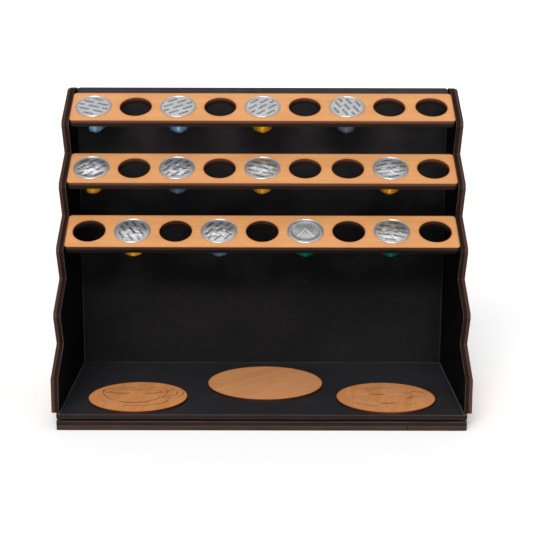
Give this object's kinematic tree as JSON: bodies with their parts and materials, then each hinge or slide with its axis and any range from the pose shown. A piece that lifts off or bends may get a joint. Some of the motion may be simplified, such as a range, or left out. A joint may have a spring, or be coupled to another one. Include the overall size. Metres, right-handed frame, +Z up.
{
  "type": "coffee capsule rack",
  "caption": "Stepped free-standing rack with sloping shelves of round holes for coffee capsules, above an open bay with loose round coasters.",
  "frame": {"origin": "centre of the footprint, on the surface that the rack stands on", "axes": "+X to the right of a person facing the rack, +Y to the back panel, +Z up"},
  "size_m": [0.4084, 0.1906, 0.318],
  "materials": {
    "black_board": "matte black laminate, with dark brown laser-cut edges",
    "beech_side": "satin oiled beech face, with red-brown laser-cut edges",
    "beech_shelf": "satin beech, with an orange scorch line round each cut",
    "beech_coaster": "satin beech, with dark scorched edges",
    "foil": "satin silver foil, printed and slightly wrinkled",
    "capsule_light_blue": "satin anodised light blue",
    "capsule_gold": "satin anodised gold",
    "capsule_slate_blue": "satin anodised slate blue",
    "capsule_steel_blue": "satin anodised steel blue",
    "capsule_teal_green": "satin anodised teal green",
    "coffee": "matte, fine dark ground coffee"
  },
  "bodies": {
    "rack": {"base_bottom_sheet_left": "black_board", "base_bottom_sheet_right": "black_board", "base_middle_sheet": "black_board", "base_spacer": "black_board", "base_top_panel": "black_board", "back_panel": "black_board", "side_left_inner_sheet": "black_board", "side_right_inner_sheet": "black_board", "side_left_outer_sheet": "beech_side", "side_right_outer_sheet": "beech_side", "shelf_1_top_sheet": "beech_shelf", "shelf_1_lower_sheet": "black_board", "shelf_2_top_sheet": "beech_shelf", "shelf_2_lower_sheet": "black_board", "shelf_3_top_sheet": "beech_shelf", "shelf_3_lower_sheet": "black_board"},
    "capsule_1_1": {"capsule_1_1_shell": "capsule_light_blue", "capsule_1_1_lid": "foil", "capsule_1_1_coffee": "coffee"},
    "capsule_1_3": {"capsule_1_3_shell": "capsule_light_blue", "capsule_1_3_lid": "foil", "capsule_1_3_coffee": "coffee"},
    "capsule_1_5": {"capsule_1_5_shell": "capsule_gold", "capsule_1_5_lid": "foil", "capsule_1_5_coffee": "coffee"},
    "capsule_1_7": {"capsule_1_7_shell": "capsule_slate_blue", "capsule_1_7_lid": "foil", "capsule_1_7_coffee": "coffee"},
    "capsule_2_1": {"capsule_2_1_shell": "capsule_gold", "capsule_2_1_lid": "foil", "capsule_2_1_coffee": "coffee"},
    "capsule_2_3": {"capsule_2_3_shell": "capsule_steel_blue", "capsule_2_3_lid": "foil", "capsule_2_3_coffee": "coffee"},
    "capsule_2_5": {"capsule_2_5_shell": "capsule_gold", "capsule_2_5_lid": "foil", "capsule_2_5_coffee": "coffee"},
    "capsule_2_8": {"capsule_2_8_shell": "capsule_gold", "capsule_2_8_lid": "foil", "capsule_2_8_coffee": "coffee"},
    "capsule_3_2": {"capsule_3_2_shell": "capsule_gold", "capsule_3_2_lid": "foil", "capsule_3_2_coffee": "coffee"},
    "capsule_3_4": {"capsule_3_4_shell": "capsule_steel_blue", "capsule_3_4_lid": "foil", "capsule_3_4_coffee": "coffee"},
    "capsule_3_6": {"capsule_3_6_shell": "capsule_teal_green", "capsule_3_6_lid": "foil", "capsule_3_6_coffee": "coffee"},
    "capsule_3_8": {"capsule_3_8_shell": "capsule_teal_green", "capsule_3_8_lid": "foil", "capsule_3_8_coffee": "coffee"},
    "coaster_left": {"coaster_left": "beech_coaster"},
    "coaster_middle": {"coaster_middle": "beech_coaster"},
    "coaster_right": {"coaster_right": "beech_coaster"}
  },
  "joints": [
    {"name": "capsule_1_1_lift", "type": "slide", "parent": "rack", "child": "capsule_1_1", "axis": [0, -0.5, 0.866], "range_m": [0, 0.06]},
    {"name": "capsule_1_3_lift", "type": "slide", "parent": "rack", "child": "capsule_1_3", "axis": [0, -0.5, 0.866], "range_m": [0, 0.06]},
    {"name": "capsule_1_5_lift", "type": "slide", "parent": "rack", "child": "capsule_1_5", "axis": [0, -0.5, 0.866], "range_m": [0, 0.06]},
    {"name": "capsule_1_7_lift", "type": "slide", "parent": "rack", "child": "capsule_1_7", "axis": [0, -0.5, 0.866], "range_m": [0, 0.06]},
    {"name": "capsule_2_1_lift", "type": "slide", "parent": "rack", "child": "capsule_2_1", "axis": [0, -0.5, 0.866], "range_m": [0, 0.06]},
    {"name": "capsule_2_3_lift", "type": "slide", "parent": "rack", "child": "capsule_2_3", "axis": [0, -0.5, 0.866], "range_m": [0, 0.06]},
    {"name": "capsule_2_5_lift", "type": "slide", "parent": "rack", "child": "capsule_2_5", "axis": [0, -0.5, 0.866], "range_m": [0, 0.06]},
    {"name": "capsule_2_8_lift", "type": "slide", "parent": "rack", "child": "capsule_2_8", "axis": [0, -0.5, 0.866], "range_m": [0, 0.06]},
    {"name": "capsule_3_2_lift", "type": "slide", "parent": "rack", "child": "capsule_3_2", "axis": [0, -0.5, 0.866], "range_m": [0, 0.06]},
    {"name": "capsule_3_4_lift", "type": "slide", "parent": "rack", "child": "capsule_3_4", "axis": [0, -0.5, 0.866], "range_m": [0, 0.06]},
    {"name": "capsule_3_6_lift", "type": "slide", "parent": "rack", "child": "capsule_3_6", "axis": [0, -0.5, 0.866], "range_m": [0, 0.06]},
    {"name": "capsule_3_8_lift", "type": "slide", "parent": "rack", "child": "capsule_3_8", "axis": [0, -0.5, 0.866], "range_m": [0, 0.06]},
    {"name": "coaster_left_lift", "type": "slide", "parent": "rack", "child": "coaster_left", "axis": [0, 0, 1], "range_m": [0, 0.04]},
    {"name": "coaster_middle_lift", "type": "slide", "parent": "rack", "child": "coaster_middle", "axis": [0, 0, 1], "range_m": [0, 0.04]},
    {"name": "coaster_right_lift", "type": "slide", "parent": "rack", "child": "coaster_right", "axis": [0, 0, 1], "range_m": [0, 0.04]}
  ]
}
